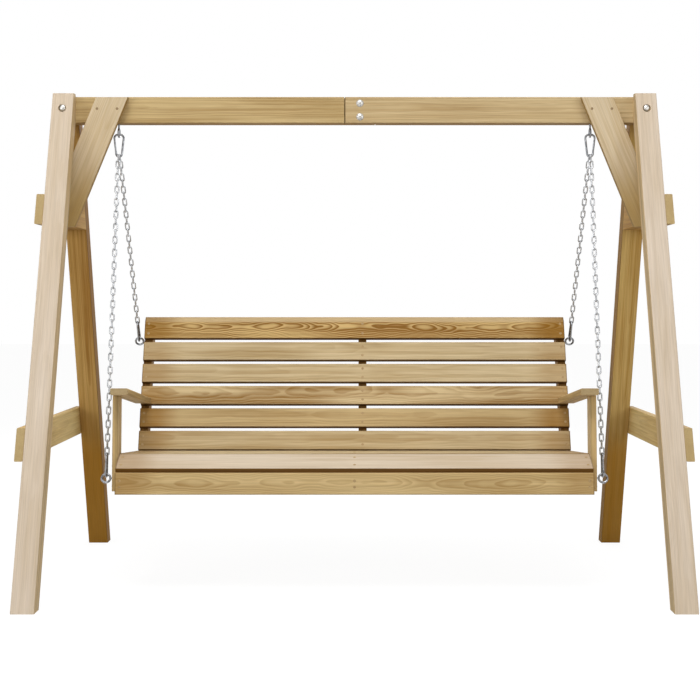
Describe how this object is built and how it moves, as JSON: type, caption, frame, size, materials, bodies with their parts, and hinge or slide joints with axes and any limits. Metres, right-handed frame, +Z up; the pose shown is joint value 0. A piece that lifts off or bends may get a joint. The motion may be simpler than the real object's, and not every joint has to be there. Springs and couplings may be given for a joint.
{
  "type": "garden swing seat",
  "caption": "Free-standing timber garden swing: leaning legs and a beam carry a slatted bench with back and armrests, hung on chains with snap hooks.",
  "frame": {"origin": "on the ground, under the middle of the beam", "axes": "+X to the right seen from the front, +Y to the back, +Z up; the bench faces -Y"},
  "size_m": [2.0408, 1.5044, 1.59],
  "materials": {
    "stand_timber": "planed, oiled",
    "bench_timber": "planed, oiled",
    "chain_zinc": "zinc plated",
    "hook_zinc": "zinc plated",
    "fastener_zinc": "zinc plated"
  },
  "bodies": {
    "stand": {"beam_brace_left": "stand_timber", "beam_brace_right": "stand_timber", "beam_left_half": "stand_timber", "beam_right_half": "stand_timber", "frame_nuts": "fastener_zinc", "frame_screws": "fastener_zinc", "frame_washers": "fastener_zinc", "front_leg_left": "stand_timber", "front_leg_right": "stand_timber", "leg_bolts": "fastener_zinc", "lower_crossbar_left": "stand_timber", "lower_crossbar_right": "stand_timber", "rear_leg_left": "stand_timber", "rear_leg_right": "stand_timber", "spacer_block_left": "stand_timber", "spacer_block_right": "stand_timber", "splice_bolts": "fastener_zinc", "top_eye_screws": "fastener_zinc", "upper_crossbar_left": "stand_timber", "upper_crossbar_right": "stand_timber"},
    "bench": {"arm_post_left": "bench_timber", "arm_post_right": "bench_timber", "armrest_left": "bench_timber", "armrest_right": "bench_timber", "back_post_centre": "bench_timber", "back_post_left": "bench_timber", "back_post_right": "bench_timber", "back_slat_1": "bench_timber", "back_slat_2": "bench_timber", "back_slat_3": "bench_timber", "back_slat_4": "bench_timber", "back_slat_5": "bench_timber", "back_slat_screws": "fastener_zinc", "bench_bolts": "fastener_zinc", "bench_nuts": "fastener_zinc", "front_apron": "bench_timber", "front_chain_left": "chain_zinc", "front_chain_right": "chain_zinc", "front_seat_slat": "bench_timber", "gate_pins": "hook_zinc", "rear_chain_left": "chain_zinc", "rear_chain_right": "chain_zinc", "seat_eye_screws": "fastener_zinc", "seat_rail_centre": "bench_timber", "seat_rail_left": "bench_timber", "seat_rail_right": "bench_timber", "seat_screws": "fastener_zinc", "seat_slat_1": "bench_timber", "seat_slat_2": "bench_timber", "seat_slat_3": "bench_timber", "seat_slat_4": "bench_timber", "snap_hooks": "hook_zinc", "top_back_slat": "bench_timber"},
    "top_left_gate": {"top_left_hook_gate": "hook_zinc"},
    "top_right_gate": {"top_right_hook_gate": "hook_zinc"},
    "front_left_gate": {"front_left_hook_gate": "hook_zinc"},
    "front_right_gate": {"front_right_hook_gate": "hook_zinc"},
    "rear_left_gate": {"rear_left_hook_gate": "hook_zinc"},
    "rear_right_gate": {"rear_right_hook_gate": "hook_zinc"}
  },
  "joints": [
    {"name": "bench_swing", "type": "hinge", "parent": "stand", "child": "bench", "pos_m": [0, 0, 1.4598], "axis": [1, 0, 0], "range_deg": [-30, 30]},
    {"name": "top_left_gate_hinge", "type": "hinge", "parent": "bench", "child": "top_left_gate", "pos_m": [-0.79597, 0, 1.40011], "axis": [0, 1, 0], "range_deg": [0, 18], "stiffness_Nm_per_rad": 0.5, "springref_deg": -11.46},
    {"name": "top_right_gate_hinge", "type": "hinge", "parent": "bench", "child": "top_right_gate", "pos_m": [0.79597, 0, 1.40011], "axis": [0, -1, 0], "range_deg": [0, 18], "stiffness_Nm_per_rad": 0.5, "springref_deg": -11.46},
    {"name": "front_left_gate_hinge", "type": "hinge", "parent": "bench", "child": "front_left_gate", "pos_m": [-0.78334, -0.30116, 0.41232], "axis": [1, 0.0015, 0.0049], "range_deg": [0, 18], "stiffness_Nm_per_rad": 0.5, "springref_deg": -11.46},
    {"name": "front_right_gate_hinge", "type": "hinge", "parent": "bench", "child": "front_right_gate", "pos_m": [0.78334, -0.30116, 0.41232], "axis": [1, -0.0015, -0.0049], "range_deg": [0, 18], "stiffness_Nm_per_rad": 0.5, "springref_deg": -11.46},
    {"name": "rear_left_gate_hinge", "type": "hinge", "parent": "bench", "child": "rear_left_gate", "pos_m": [-0.76487, 0.32865, 0.82467], "axis": [-0.9996, 0.014, -0.0248], "range_deg": [0, 18], "stiffness_Nm_per_rad": 0.5, "springref_deg": -11.46},
    {"name": "rear_right_gate_hinge", "type": "hinge", "parent": "bench", "child": "rear_right_gate", "pos_m": [0.76487, 0.32865, 0.82467], "axis": [-0.9996, -0.014, 0.0248], "range_deg": [0, 18], "stiffness_Nm_per_rad": 0.5, "springref_deg": -11.46}
  ]
}
